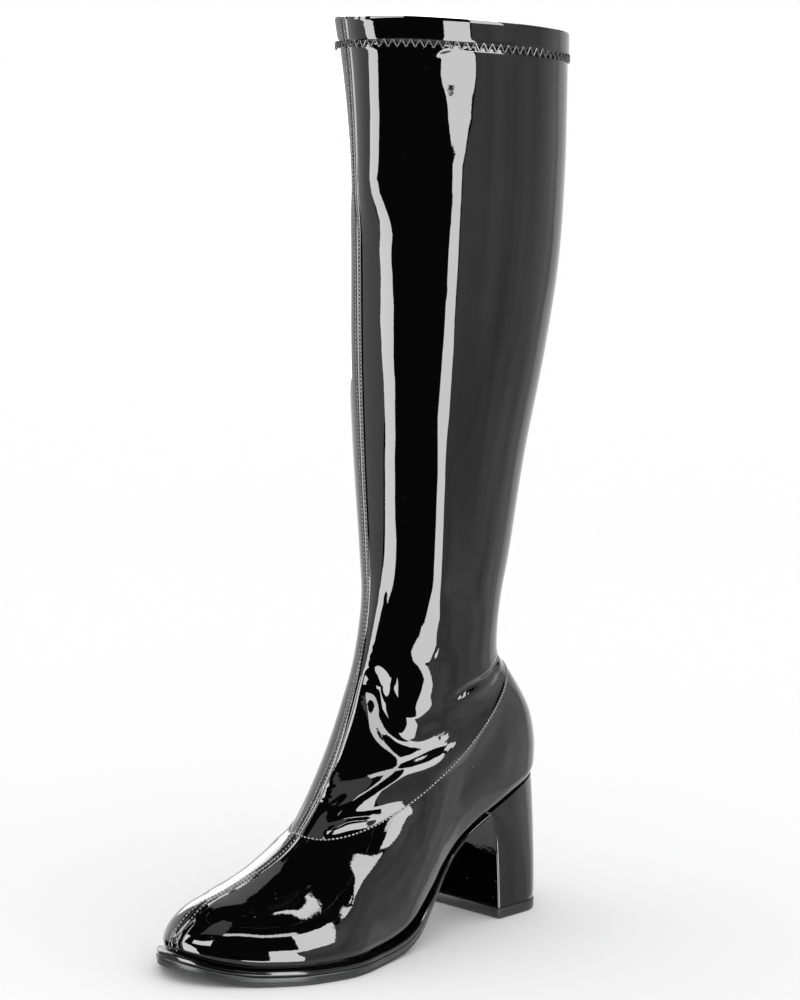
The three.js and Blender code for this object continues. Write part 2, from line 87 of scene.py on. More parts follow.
# The sole's underside over the floor, in shares of the heel's height.
UNDERSIDE = table(
    "place height",
    (0, 0.972), (0.1, 0.907), (0.22, 0.772), (0.31, 0.627), (0.37, 0.458), (0.43, 0.232),
    (0.49, 0.077), (0.55, 0.018), (0.62, 0), (0.82, 0), (0.9, 0.006), (0.95, 0.031),
    (1, TOE_SPRING / HEEL_HEIGHT),
)
# The ridge down the middle of the vamp and instep.
RIDGE = table(
    "place height",
    (0.455, 2.23), (0.488, 1.81), (0.531, 1.548), (0.571, 1.287), (0.626, 1.035), (0.68, 0.823),
    (0.706, 0.73), (0.77, 0.62), (0.857, 0.535), (0.914, 0.49), (0.948, 0.435), (0.972, 0.37),
    (0.988, 0.315), (0.997, 0.26), (1, 0.2),
)
# The counter's back line, in millimetres behind the heel's middle.
COUNTER_BACK = table(
    "height back",
    (0.95, 23.5), (1, 24), (1.11, 25.5), (1.22, 25), (1.36, 22.5), (1.51, 17.5), (1.66, 10),
    (1.8, 2), (1.9, -3),
)
# Where the foot part's rings start on the ridge.
FOOT_RINGS = (1, 0.998, 0.993, 0.98, 0.95, 0.91, 0.86, 0.81, 0.765, 0.72, 0.678)
# Sections of the shaft: front and back heights, middle, depth, width, turn in degrees, sag in
# millimetres and egg, which widens the back over the front.
SHAFT = np.array([
    (0.131, 0.2915, 0.3926, 1.103, 0.642, 3.7, 12, 0.12),
    (0.166, 0.3, 0.3728, 0.9625, 0.615, 4.3, 9, 0.08),
    (0.2065, 0.3105, 0.3513, 0.832, 0.587, 6, 5, 0.04),
    (0.253, 0.3235, 0.33, 0.733, 0.56, 8.7, 2, 0.02),
    (0.3, 0.3447, 0.3105, 0.657, 0.546, 13, 0, 0),
    (0.366, 0.376, 0.2948, 0.6295, 0.5505, 15, 0, 0),
    (0.4255, 0.4255, 0.2874, 0.667, 0.6147, 15, 0, 0),
    (0.532, 0.532, 0.2792, 0.75, 0.725, 15, 0, 0),
    (0.638, 0.638, 0.2608, 0.846, 0.822, 15.5, 0, 0),
    (0.745, 0.745, 0.2425, 0.911, 0.876, 17, 0, 0),
    (0.852, 0.85, 0.2403, 0.937, 0.9174, 18, 0, 0),
    (0.94, 0.931, 0.2515, 0.964, 0.963, 17.5, 0, 0),
    (1.006, 0.994, 0.2664, 1, 1, 16.5, 0, 0),
])
LAST_ROW = len(SHAFT) - 1
print("shaft sections:", len(SHAFT))


# %% [markdown]
# ## Curves through the tables
# Two kinds of smooth curve are enough: one that never swings past its rows, for outlines, and one
# that runs evenly through them, for the sections of the leg.

# %% Curve helpers
def ease(start, end, x):
    w = np.clip((np.asarray(x, float) - start) / (end - start), 0, 1)
    return w * w * (3 - 2 * w)


def mix(a, b, w):
    return a + (b - a) * w


def through(xs, ys, x):
    """A smooth curve through the rows that never swings past them."""
    xs, ys, x = (np.asarray(v, float) for v in (xs, ys, x))
    slope = np.diff(ys) / np.diff(xs)
    product = slope[:-1] * slope[1:]
    total = slope[:-1] + slope[1:]
    inner = np.where(product > 0, 2 * product / np.where(total == 0, 1, total), 0)
    tangent = np.concatenate([slope[:1], inner, slope[-1:]])
    x = np.clip(x, xs[0], xs[-1])
    i = np.clip(np.searchsorted(xs, x, side="right") - 1, 0, len(xs) - 2)
    span = xs[i + 1] - xs[i]
    t = (x - xs[i]) / span
    start = (1 + 2 * t) * (1 - t) ** 2 * ys[i] + t * (1 - t) ** 2 * span * tangent[i]
    end = t * t * (3 - 2 * t) * ys[i + 1] + t * t * (t - 1) * span * tangent[i + 1]
    return start + end


def shaft_row(t):
    """All columns of the shaft's table at a place between its rows."""
    t = np.asarray(t, float)
    i = np.clip(np.floor(t).astype(int), 0, LAST_ROW - 1)
    w = (t - i)[..., None]
    rows = np.vstack([2 * SHAFT[0] - SHAFT[1], SHAFT, 2 * SHAFT[-1] - SHAFT[-2]])
    before, low, high, after = rows[i], rows[i + 1], rows[i + 2], rows[i + 3]
    slope_low, slope_high = (high - before) / 2, (after - low) / 2
    cubic = (2 * low - 2 * high + slope_low + slope_high) * w
    square = -3 * low + 3 * high - 2 * slope_low - slope_high
    return ((cubic + square) * w + slope_low) * w + low


# %% [markdown]
# ## The surface of the last
# The foot is a set of rings. Each starts on the ridge over the toes, runs down both sides and ends
# on the counter, the stiff cup behind the heel. The leg is a stack of turned ovals. Both meet at
# the foot seam, which dips from the back of the ankle to the throat.

# %% Surface functions
TOE_TURN_FROM, TOE_TURN_POWER = 0.66, 1.3
FOREPART = (0.33, 0.48)
DOME_FROM = (0.36, 0.5)
OUTER_DOME = {"power": 2.2, "root": 0.5}
INNER_DOME = {"power": 2, "root": 0.6}
SWELL_FADE = (0.42, 0.62)
RIDGE_FADE = (0.7, 1.02)
SHAFT_BLEND = (0.55, 1)
SAG_SKEW = 0.65
HEEL_CUP = 0.25
TINY = 1e-6


def along(place):
    return SEAT_BACK - place * FOOT_LENGTH


def place_of(y):
    return (SEAT_BACK - y) / FOOT_LENGTH


def end_angle(place):
    return np.arccos(1 - 2 * np.clip(place, 0, 1))


def centre_line(place):
    share = np.clip((place - TOE_TURN_FROM) / (1 - TOE_TURN_FROM), 0, 1)
    return -TOE_INWARD * share ** TOE_TURN_POWER


def forepart(place):
    return ease(*FOREPART, place)


def underside(place):
    return HEEL_HEIGHT * through(UNDERSIDE["place"], UNDERSIDE["height"], place)


def outsole_thickness(place):
    return mix(WAIST_OUTSOLE, OUTSOLE_THICK, forepart(place))


def edge_height(place):
    welt = mix(WAIST_WELT, WELT_THICK, forepart(place))
    return underside(place) + outsole_thickness(place) + welt


def ridge_height(place):
    return HEEL_HEIGHT * through(RIDGE["place"], RIDGE["height"], place)


def half_width(place, outer):
    angle = end_angle(place)
    angles = end_angle(LASTED_EDGE["place"])
    wide = through(angles, LASTED_EDGE["outer"], angle)
    narrow = through(angles, LASTED_EDGE["inner"], angle)
    return BALL_WIDTH * np.where(outer, wide, narrow)


def sag_drop(sag, share):
    return sag * MM * np.sin(np.pi * share ** SAG_SKEW)


def shaft_point(t, angle):
    """A point of a shaft section. The angle runs from the front over the outer side."""
    t, angle = np.broadcast_arrays(np.asarray(t, float), np.asarray(angle, float))
    front, back, middle, depth, width, turn, sag, egg = np.moveaxis(shaft_row(t), -1, 0)
    share = (1 - np.cos(angle)) / 2
    forward = -np.cos(angle) * depth * COLLAR_DEPTH / 2
    across = np.sin(angle) * (1 - egg * np.cos(angle)) * width * COLLAR_WIDTH / 2
    turn = np.radians(turn)
    x = across * np.cos(turn) + forward * np.sin(turn)
    y = along(middle) + forward * np.cos(turn) - across * np.sin(turn)
    z = mix(front, back, share) * BOOT_HEIGHT - sag_drop(sag, share)
    return np.stack([x, y, z], -1)


SEAM_FRONT = along(SHAFT[0, 2]) - SHAFT[0, 3] * COLLAR_DEPTH / 2
SEAM_BACK = along(SHAFT[0, 2]) + SHAFT[0, 3] * COLLAR_DEPTH / 2


def seam_height(y):
    share = np.clip((y - SEAM_FRONT) / (SEAM_BACK - SEAM_FRONT), 0, 1)
    return mix(SHAFT[0, 0], SHAFT[0, 1], share) * BOOT_HEIGHT - sag_drop(SHAFT[0, 6], share)


def foot_point(ring, angle):
    """A point of the foot part. The ring counts from the lasted edge (0) to the foot seam (10)."""
    place_on_ridge = through(np.arange(len(FOOT_RINGS)), FOOT_RINGS, ring)
    start, angle = np.broadcast_arrays(place_on_ridge, np.asarray(angle, float))
    outer = np.sin(angle) >= 0
    front = along(start)
    lowest = edge_height(start)
    rise = np.clip((ridge_height(start) - lowest) / (seam_height(front) - lowest), 0, 1)
    back_height = mix(HEEL_HEIGHT, seam_height(SEAM_BACK), rise) / HEEL_HEIGHT
    back = place_of(MM * through(COUNTER_BACK["height"], COUNTER_BACK["back"], back_height))
    y = mix(front, along(back), (1 - np.cos(angle)) / 2)
    place = place_of(y)
    cup = HEEL_CUP * (place - back) / (HEEL_CUP - back)
    edge_place = np.clip(np.where(place < HEEL_CUP, cup, place), 0, 1)
    low = edge_height(edge_place)
    z = mix(low, np.maximum(seam_height(y), low), rise)
    top = np.maximum(ridge_height(place), z + TINY)
    height = np.clip((z - low) / (top - low), 0, 1) * ease(*DOME_FROM, place)
    outer_dome = (1 - height ** OUTER_DOME["power"]) ** OUTER_DOME["root"]
    inner_dome = (1 - height ** INNER_DOME["power"]) ** INNER_DOME["root"]
    swell = np.sin(np.pi * rise) * (1 - ease(*SWELL_FADE, place)) * np.abs(np.sin(angle))
    half = half_width(edge_place, outer) + QUARTER_BULGE * swell
    half = half * np.where(outer, outer_dome, inner_dome)
    ridge_shift = RIDGE_INWARD * (1 - ease(*RIDGE_FADE, place)) * height * height
    x = centre_line(place) - ridge_shift + np.where(outer, 1, -1) * half
    point = np.stack([x, y, z], -1)
    return mix(point, shaft_point(0, angle), ease(*SHAFT_BLEND, rise)[..., None])


def normals_of(points):
    """Outward normals of a grid of points whose columns run round."""
    up = np.gradient(points, axis=0)
    round_ = np.roll(points, -1, 1) - np.roll(points, 1, 1)
    normal = np.cross(round_, up)
    length = np.linalg.norm(normal, axis=-1, keepdims=True)
    return normal / np.maximum(length, TINY ** 2)


print(f"foot seam: {seam_height(SEAM_FRONT):.3f} m high in front, {seam_height(SEAM_BACK):.3f} m behind")


# %% [markdown]
# ## The camera
# It stands where the photographer's stood: 1.4 m off, at four fifths of the boot's height, and
# forty-three degrees round to the outer side. The lens is long, so upright lines stay upright. A
# shorter lens close by would fill the frame too, but it would swell the toe and shrink the collar.

# %% Camera
IMAGE_HEIGHT = 1000
FOCAL_PIXELS = 2628
CAMERA_AZIMUTH = np.radians(43.35)
CAMERA_PITCH = np.radians(7.19)
CAMERA_ROLL = np.radians(0.96)
CAMERA_DISTANCE = 1.4017
CAMERA_HEIGHT = 0.3973
CAMERA_SIDEWAYS = -0.0501
SENSOR = 36

right = np.array([np.cos(CAMERA_AZIMUTH), np.sin(CAMERA_AZIMUTH), 0])
back = np.array([np.sin(CAMERA_AZIMUTH), -np.cos(CAMERA_AZIMUTH), 0])
up = np.array([0, 0, 1.0])


def make_camera():
    eye = back * CAMERA_DISTANCE + right * CAMERA_SIDEWAYS + up * CAMERA_HEIGHT
    behind = back * np.cos(CAMERA_PITCH) + up * np.sin(CAMERA_PITCH)
    top = up * np.cos(CAMERA_PITCH) - back * np.sin(CAMERA_PITCH)
    side = right * np.cos(CAMERA_ROLL) + top * np.sin(CAMERA_ROLL)
    top = top * np.cos(CAMERA_ROLL) - right * np.sin(CAMERA_ROLL)
    data = bpy.data.cameras.new("camera")
    data.sensor_fit = "VERTICAL"
    data.sensor_height = SENSOR
    data.lens = FOCAL_PIXELS / IMAGE_HEIGHT * SENSOR
    camera = bpy.data.objects.new("camera", data)
    turn = Matrix((side, top, behind)).transposed().to_4x4()
    camera.matrix_world = Matrix.Translation(Vector(eye)) @ turn
    bpy.context.scene.collection.objects.link(camera)
    bpy.context.scene.camera = camera


make_camera()
print(f"lens: {bpy.context.scene.camera.data.lens:.1f} mm")


# %% [markdown]
# ## Meshes from grids
# Every skin here is a tube: rings of points, joined to their neighbours. A wall with a thickness
# is two such tubes, one inside the other, closed at both ends. A solid is a stack of rings with its
# ends closed across. Sculpting would do for one boot, but rings from tables can be cut finer or
# coarser without a new start.

# %% Mesh builders
SHARP_ANGLE = 40


def new_piece(name, points, faces, materials, face_material=None, sharp_angle=SHARP_ANGLE):
    mesh = bpy.data.meshes.new(name)
    mesh.from_pydata([tuple(p) for p in points], [], [tuple(f) for f in faces])
    for material in materials:
        mesh.materials.append(material)
    if face_material is not None:
        mesh.polygons.foreach_set("material_index", np.asarray(face_material, np.int32))
    mesh.polygons.foreach_set("use_smooth", np.ones(len(faces), bool))
    mesh.set_sharp_from_angle(angle=np.radians(sharp_angle))
    mesh.validate()
    piece = bpy.data.objects.new(name, mesh)
    bpy.context.scene.collection.objects.link(piece)
    return piece


def ring_faces(first, second, count):
    """Quads between two rings of the same count, given by their first points."""
    i = np.arange(count)
    j = (i + 1) % count
    return np.stack([first + i, first + j, second + j, second + i], -1)


def hollow_wall(name, outer, inner, materials):
    """A tube with a thickness. Its inner faces take the second material."""
    rings, count = outer.shape[:2]
    points = np.concatenate([outer.reshape(-1, 3), inner.reshape(-1, 3)])
    inside = rings * count
    faces, slots = [], []
    for r in range(rings - 1):
        faces += [ring_faces(r * count, (r + 1) * count, count)]
        faces += [ring_faces(inside + (r + 1) * count, inside + r * count, count)]
        slots += [0] * count + [1] * count
    last = (rings - 1) * count
    faces += [ring_faces(inside, 0, count), ring_faces(last, inside + last, count)]
    slots += [0] * count * 2
    return new_piece(name, points, np.concatenate(faces), materials, slots)


def stack(name, rings, materials, level_material, sharp_angle=SHARP_ANGLE):
    """Rings laid on each other and closed across at both ends, each level in its own material."""
    count = len(rings[0])
    faces, slots = [], []
    for level in range(len(rings) - 1):
        faces += ring_faces(level * count, (level + 1) * count, count).tolist()
        slots += [level_material[level]] * count
    top = (len(rings) - 1) * count
    for i in range(count // 2):
        mate = (count - i) % count
        low = [i, mate, mate - 1, i + 1] if i else [0, count - 1, 1]
        if len(set(low)) < len(low):
            low = [i, mate, i + 1]
        faces += [low, [top + k for k in reversed(low)]]
        slots += [level_material[0], level_material[-1]]
    return new_piece(name, np.concatenate(rings), faces, materials, slots, sharp_angle)


def report(piece):
    print(f"{piece.name}: {len(piece.data.polygons)} faces")


# %% [markdown]
# ## Patent leather
# Patent is a soft backing under a thick clear film. The film gives one sharp reflection, so its
# roughness is close to nothing. What keeps it from looking like glass is a slow swell in the film
# and a few specks of dust. Both come from one node group that every glossy part shares.

# %% The film's own surface, as a node group
FILM_VALUES = {"Swell size": 40, "Swell": 0.1, "Grain size": 700, "Grain": 0.03, "Gloss": 0.03,
               "Dust": 0.02}
SWELL_HEIGHT = 1 * MM
GRAIN_HEIGHT = 0.1 * MM
SPECK_SCALE = 260
SPECK_EDGE = {"From Min": 0.1, "From Max": 0.04}
DUST_SCALE = 55
DUST_EDGE = {"From Min": 0.58, "From Max": 0.66}
DUST_ROUGHNESS = 0.5


def socket(tree, name, kind, where="INPUT", default=None):
    made = tree.interface.new_socket(name=name, in_out=where, socket_type=kind)
    if default is not None:
        made.default_value = default


def node(tree, kind, inputs=(), **settings):
    """A new node with its settings, and with values on its own inputs."""
    made = tree.nodes.new(kind)
    for key, value in settings.items():
        setattr(made, key, value)
    for key, value in dict(inputs).items():
        made.inputs[key].default_value = value
    return made


def wire(tree, *rows):
    """Joins sockets. Each row is a node, its output, the next node and its input."""
    for start, output, end, entry in rows:
        tree.links.new(start.outputs[output], end.inputs[entry])


def film_group():
    """Swell and dust of a patent film: puts out a normal, a roughness and a dust mask."""
    tree = bpy.data.node_groups.new("patent film", "ShaderNodeTree")
    for name, value in FILM_VALUES.items():
        socket(tree, name, "NodeSocketFloat", default=value)
    socket(tree, "Normal", "NodeSocketVector", "OUTPUT")
    socket(tree, "Roughness", "NodeSocketFloat", "OUTPUT")
    socket(tree, "Dust mask", "NodeSocketFloat", "OUTPUT")
    inside = node(tree, "NodeGroupInput")
    outside = node(tree, "NodeGroupOutput")
    place = node(tree, "ShaderNodeTexCoord")
    swell = node(tree, "ShaderNodeTexNoise", {"Detail": 1})
    grain = node(tree, "ShaderNodeTexNoise", {"Detail": 2})
    first = node(tree, "ShaderNodeBump", {"Distance": SWELL_HEIGHT})
    second = node(tree, "ShaderNodeBump", {"Distance": GRAIN_HEIGHT})
    specks = node(tree, "ShaderNodeTexVoronoi", {"Scale": SPECK_SCALE}, feature="F1")
    speck = node(tree, "ShaderNodeMapRange", SPECK_EDGE)
    where = node(tree, "ShaderNodeTexNoise", {"Scale": DUST_SCALE})
    patch = node(tree, "ShaderNodeMapRange", DUST_EDGE)
    both = node(tree, "ShaderNodeMath", operation="MULTIPLY")
    amount = node(tree, "ShaderNodeMath", operation="MULTIPLY")
    rough = node(tree, "ShaderNodeMath", {1: DUST_ROUGHNESS}, operation="MULTIPLY_ADD")
    wire(tree, *((place, "Object", texture, "Vector") for texture in (swell, grain, specks, where)))
    wire(
        tree,
        (inside, "Swell size", swell, "Scale"),
        (inside, "Grain size", grain, "Scale"),
        (swell, "Fac", first, "Height"),
        (inside, "Swell", first, "Strength"),
        (grain, "Fac", second, "Height"),
        (inside, "Grain", second, "Strength"),
        (first, "Normal", second, "Normal"),
        (second, "Normal", outside, "Normal"),
        (specks, "Distance", speck, "Value"),
        (where, "Fac", patch, "Value"),
        (speck, "Result", both, 0),
        (patch, "Result", both, 1),
        (both, 0, amount, 0),
        (inside, "Dust", amount, 1),
        (amount, 0, outside, "Dust mask"),
        (amount, 0, rough, 0),
        (inside, "Gloss", rough, 2),
        (rough, 0, outside, "Roughness"),
    )
    return tree


FILM = film_group()
print("film group:", len(FILM.nodes), "nodes")


# %% [markdown]
# ## The materials
# The black itself is nearly the same everywhere; only the foot seam's thread is a lighter grey, a
# painted glint on its stitches. What tells the parts apart is how sharp their reflection is: a mirror
# on the foot, a slightly wavier one on the stretchy leg, satin on the sole's edge, and dull rubber
# under it. So two helpers are enough, one for film and one for the rest, and each finish is a line of
# values.

# %% Material helpers
DUST_COLOR = (0.35, 0.34, 0.33, 1)
CLOTH_RELIEF = 0.2 * MM
CLOTH_DETAIL = 4
UNEVEN = 0.2


def shader(name, color, roughness, specular=0.5):
    material = bpy.data.materials.new(name)
    material.use_nodes = True
    base = material.node_tree.nodes["Principled BSDF"]
    base.inputs["Base Color"].default_value = (*color, 1)
    base.inputs["Roughness"].default_value = roughness
    base.inputs["Specular IOR Level"].default_value = specular
    print("finish:", name)
    return material, base


def patent(name, black, film):
    """A glossy film over a black backing, with the film group's own values."""
    material, base = shader(name, black, film["Gloss"])
    tree = material.node_tree
    group = node(tree, "ShaderNodeGroup", node_tree=FILM)
    for key, value in film.items():
        group.inputs[key].default_value = value
    tint = node(tree, "ShaderNodeMix", {"A": (*black, 1), "B": DUST_COLOR}, data_type="RGBA")
    wire(
        tree,
        (group, "Dust mask", tint, "Factor"),
        (tint, "Result", base, "Base Color"),
        (group, "Roughness", base, "Roughness"),
        (group, "Normal", base, "Normal"),
    )
    return material


def grained(name, color, roughness, scale, bump, specular=0.4):
    """Rubber, thread or cloth: a plain colour broken up by a fine noise."""
    material, base = shader(name, color, roughness, specular)
    tree = material.node_tree
    place = node(tree, "ShaderNodeTexCoord")
    noise = node(tree, "ShaderNodeTexNoise", {"Scale": scale, "Detail": CLOTH_DETAIL})
    relief = node(tree, "ShaderNodeBump", {"Strength": bump, "Distance": CLOTH_RELIEF})
    limits = {"To Min": roughness * (1 - UNEVEN), "To Max": roughness * (1 + UNEVEN)}
    spread = node(tree, "ShaderNodeMapRange", limits)
    wire(
        tree,
        (place, "Object", noise, "Vector"),
        (noise, "Fac", relief, "Height"),
        (relief, "Normal", base, "Normal"),
        (noise, "Fac", spread, "Value"),
        (spread, "Result", base, "Roughness"),
    )
    return material


# %% Materials
foot_film = {"Swell size": 60, "Swell": 0.22, "Grain": 0.14, "Gloss": 0.025, "Dust": 0.6}
leg_film = {"Swell size": 35, "Swell": 0.28, "Grain": 0.04, "Gloss": 0.02, "Dust": 0.12}
sole_film = {"Swell size": 90, "Swell": 0.05, "Grain": 0.2, "Gloss": 0.12, "Dust": 0.0}
foot_patent = patent("foot patent", (0.002, 0.002, 0.0022), foot_film)
leg_patent = patent("stretch patent", (0.002, 0.002, 0.0022), leg_film)
welt_gloss = patent("welt gloss", (0.003, 0.003, 0.0032), sole_film)
sole_satin = grained("sole edge", (0.02, 0.021, 0.022), 0.32, 900, 0.15)
sole_dull = grained("sole rubber", (0.012, 0.012, 0.013), 0.6, 1200, 0.3)
tip_rubber = grained("heel tip rubber", (0.01, 0.01, 0.011), 0.45, 1200, 0.3)
leg_lining = grained("leg lining", (0.012, 0.012, 0.013), 0.85, 1500, 0.6, 0.2)
thread_black = grained("thread", (0.05, 0.05, 0.052), 0.2, 3000, 0.2, 1.0)
# The foot seam's thread is black; its light grey colour is a painted glint, so the stitches show as
# bright dots.
thread_painted_glint = grained("foot seam thread, painted glint", (0.2, 0.2, 0.2), 0.2, 3000, 0.2, 1.0)

# %% [markdown]
# ## Folds in the leg
# A soft boot with no leg in it settles into folds at the ankle. Cloth simulation could find such
# folds, but not these ones, so each is laid one by one: a trough, or a ridge where its depth is below
# zero, from one place on the shaft to another. Depth, width and the raised lip beside some of them
# are in millimetres. A place is a row of the shaft's table and an angle in degrees from the seam.

# %% Folds
FOLDS = (
    {"name": "crescent", "depth": 2.7, "width": 6.8, "lip": 0.2,
     "path": ((4.1, 23), (3.5, 28), (2.85, 39), (2.15, 58), (1.8, 76), (1.75, 90))},
    {"name": "crescent, towards the heel", "depth": 1.0, "width": 7,
     "path": ((1.75, 82), (1.4, 102), (1.0, 129), (1.2, 150))},
    {"name": "crest over the seam", "depth": -1.7, "width": 6,
     "path": ((0.5, 18), (1.04, 40), (1.2, 60), (0.84, 80), (0.5, 106))},
    {"name": "back crease", "depth": 1.6, "width": 2.2, "lip": 0.2,
     "path": ((2.6, 80), (2.48, 103), (1.9, 132), (1.65, 158), (1.8, 180), (1.9, 200))},
    {"name": "slit in the crest", "depth": 0.6, "width": 1.6,
     "path": ((1.62, 54), (1.4, 77), (0.95, 98))},
    {"name": "throat leaf", "depth": -1.0, "width": 2.4,
     "path": ((0.12, 24), (0.34, 38), (0.1, 56))},
    {"name": "instep beside the seam", "depth": -1.1, "width": 4.5,
     "path": ((6.0, 20), (5.2, 16), (4.4, 11), (3.6, 8), (2.4, 7), (1.5, 7.5), (0.7, 9))},
    {"name": "calf beside the seam", "depth": -3.2, "width": 12,
     "path": ((12.6, 17), (11.6, 17), (10.7, 16), (9.92, 14), (9.2, 15))},
    {"name": "flat of the calf", "depth": 1.0, "width": 13,
     "path": ((12.6, 44), (11.6, 44), (10.6, 44), (9.8, 43), (9.1, 42))},
    {"name": "front of the shin", "depth": -0.4, "width": 8,
     "path": ((9.3, 26), (8.6, 30), (7.6, 29), (6.8, 28), (6.2, 27))},
    {"name": "outer side of the leg", "depth": -1.2, "width": 8,
     "path": ((10.6, 64), (9.9, 64), (8.64, 63), (7.64, 63), (6.6, 65), (5.6, 68), (4.5, 71))},
    {"name": "outer side of the ankle", "depth": -1.5, "width": 9,
     "path": ((7.4, 63), (6.4, 66), (5.4, 69), (4.6, 72), (3.8, 74))},
    {"name": "outer side under the hem", "depth": 0.7, "width": 9,
     "path": ((11.5, 60), (11.2, 62), (10.8, 63))},
    {"name": "faint lens", "depth": 0.35, "width": 3, "lip": 0.1,
     "path": ((5.0, 28), (5.05, 42), (4.95, 56))},
)
FOLD_STEPS = 60
FOLD_REACH = 4
FOLD_FADE = 0.18
LIP_PLACE = 1.7
LIP_WIDTH = 0.8
print("folds:", "; ".join(fold["name"] for fold in FOLDS))


def fold_line(path):
    """Points on the shaft along a fold, evenly spaced in its own rows."""
    rows = np.array(path, float)
    knots = np.arange(len(rows))
    s = np.linspace(0, len(rows) - 1, FOLD_STEPS)
    t = through(knots, rows[:, 0], s)
    angle = np.radians(through(knots, rows[:, 1], s))
    return shaft_point(t, angle), s / (len(rows) - 1)


def fold_depth(points, normals, fold):
    """How far each point moves along its normal for one fold."""
    line, share = fold_line(fold["path"])
    reach = FOLD_REACH * fold["width"] * MM
    flat = points.reshape(-1, 3)
    near = np.where(np.all((flat > line.min(0) - reach) & (flat < line.max(0) + reach), 1))[0]
    apart = flat[near][:, None] - line[None]
    nearest = np.linalg.norm(apart, axis=-1).argmin(1)
    offset = apart[np.arange(len(near)), nearest]
    normal = normals.reshape(-1, 3)[near]
    offset -= (offset * normal).sum(1, keepdims=True) * normal
    away = np.linalg.norm(offset, axis=1) / (fold["width"] * MM)
    share = share[nearest]
    ends = ease(0, FOLD_FADE, share) * (1 - ease(1 - FOLD_FADE, 1, share))
    trough = -fold["depth"] * np.exp(-away ** 2)
    lip = fold.get("lip", 0) * np.exp(-((away - LIP_PLACE) / LIP_WIDTH) ** 2)
    moved = np.zeros(len(flat))
    moved[near] = (trough + lip) * MM * ends
    return moved.reshape(points.shape[:2])


# %% [markdown]
# ## The seam down the front
# Two halves of the upper are sewn together down the front and the seam is topstitched flat, so a
# narrow band stands a little proud with a fine line down its middle. The skins themselves are
# raised there, since a strip laid on them would show two cut edges. The band is the same number of
# degrees wide as in the model, which makes it narrower where the leg is slimmer.

# %% Columns round the boot, close together at the front seam
SEAM_HALF = 3.4
SEAM_FOOT = 4.6
SEAM_RAISE = 0.45 * MM
SEAM_GROOVE = 0.4 * MM
BAND_GROOVE = 0.4 * MM
GROOVE_WIDTH = 0.5
FINE_REACH = 6.5
FINE_STEPS = 15
COARSE_STEPS = 124

fine = np.linspace(0, FINE_REACH, FINE_STEPS)
coarse = np.linspace(FINE_REACH, 180, COARSE_STEPS)[1:]
half_round = np.concatenate([fine, coarse])
COLUMNS = np.radians(np.concatenate([half_round, -half_round[1:-1][::-1]]))
print("columns round the boot:", len(COLUMNS))


def seam_raise(angle):
    degrees = np.abs(np.degrees(angle))
    band = 1 - ease(SEAM_HALF, SEAM_FOOT, degrees)
    middle = SEAM_GROOVE * np.exp(-(degrees / GROOVE_WIDTH) ** 2)
    border = BAND_GROOVE * np.exp(-((degrees - SEAM_FOOT) / GROOVE_WIDTH) ** 2)
    return SEAM_RAISE * band - middle - border


# %% [markdown]
# ## The foot part
# The foot part runs from the toe to the counter and ends at the slanting foot seam. It is pulled
# under tightly along the sole, so its lowest few millimetres tuck in. The rings of the last give
# its outside, and the same rings moved in by the wall give its inside.

# %% Foot part
FOOT_RING_STEPS = 10
FEATHER_TUCK = 1.1 * MM
FEATHER_HEIGHT = 6 * MM
FEATHER_LIFT = 0.4 * MM


def foot_part():
    rings = np.linspace(0, len(FOOT_RINGS) - 1, FOOT_RING_STEPS * (len(FOOT_RINGS) - 1) + 1)
    ring, angle = np.meshgrid(rings, COLUMNS, indexing="ij")
    base = foot_point(ring, angle)
    normal = normals_of(base)
    normal[0, :, 2] = 0
    normal[0] /= np.linalg.norm(normal[0], axis=-1, keepdims=True)
    height = base[..., 2] - base[:1, :, 2]
    tuck = FEATHER_TUCK * np.clip(1 - height / FEATHER_HEIGHT, 0, 1) ** 2
    outer = base + normal * (seam_raise(angle) - tuck)[..., None]
    inner = base - normal * WALL
    outer[0, :, 2] += FEATHER_LIFT
    inner[0, :, 2] += FEATHER_LIFT
    piece = hollow_wall("foot_part", outer, inner, [foot_patent, leg_lining])
    return piece, outer


foot, foot_outer = foot_part()
report(foot)

# %% [markdown]
# ## The leg
# The leg is one stretchy tube with its seam at the front. Its top edge is turned in and held by a
# zigzag stitch, which draws the skin in along its line. Rows lie close where the folds and the hem
# are, and further apart on the plain calf.

# %% Leg part
HEM_ROW = LAST_ROW - 1 + 0.56
HEM_RAISE = 0.7 * MM
HEM_PULL = 0.5 * MM
HEM_EDGE = 0.03
HEM_PULL_WIDTH = 0.05
FOLDS_END = 4.5
UNDER_HEM = HEM_ROW - 0.3
LOW_ROWS = np.arange(0, FOLDS_END, 0.05)
HIGH_ROWS = np.arange(FOLDS_END, UNDER_HEM, 0.14)
HEM_ROWS = np.linspace(UNDER_HEM, LAST_ROW, 26)
SEAM_REST = 0.25


def hem_raise(t):
    thick = HEM_RAISE * ease(HEM_ROW - HEM_EDGE, HEM_ROW + HEM_PULL_WIDTH, t)
    pull = HEM_PULL * np.exp(-((t - HEM_ROW) / HEM_PULL_WIDTH) ** 2)
    edge = HEM_RAISE / 2 * ease(LAST_ROW - HEM_EDGE, LAST_ROW, t)
    return thick - pull - edge


def leg_part():
    rows = np.concatenate([LOW_ROWS, HIGH_ROWS, HEM_ROWS])
    t, angle = np.meshgrid(rows, COLUMNS, indexing="ij")
    base = shaft_point(t, angle)
    normal = normals_of(base)
    folds = sum(fold_depth(base, normal, fold) for fold in FOLDS)
    base = base + normal * (folds * ease(0, SEAM_REST, t))[..., None]
    outer = base + normal * (seam_raise(angle) + hem_raise(t))[..., None]
    inner = base - normal * WALL
    return hollow_wall("leg_part", outer, inner, [leg_patent, leg_lining]), outer, rows


leg, leg_outer, leg_rows = leg_part()
report(leg)


# %% [markdown]
# ## The sole
# The welt and the outsole follow the lasted edge and stand out past it. Each is a slab whose side
# is a short profile: how far it stands out, and how high that is. A bevel would round both edges
# alike, while a profile also gives the outsole its step.

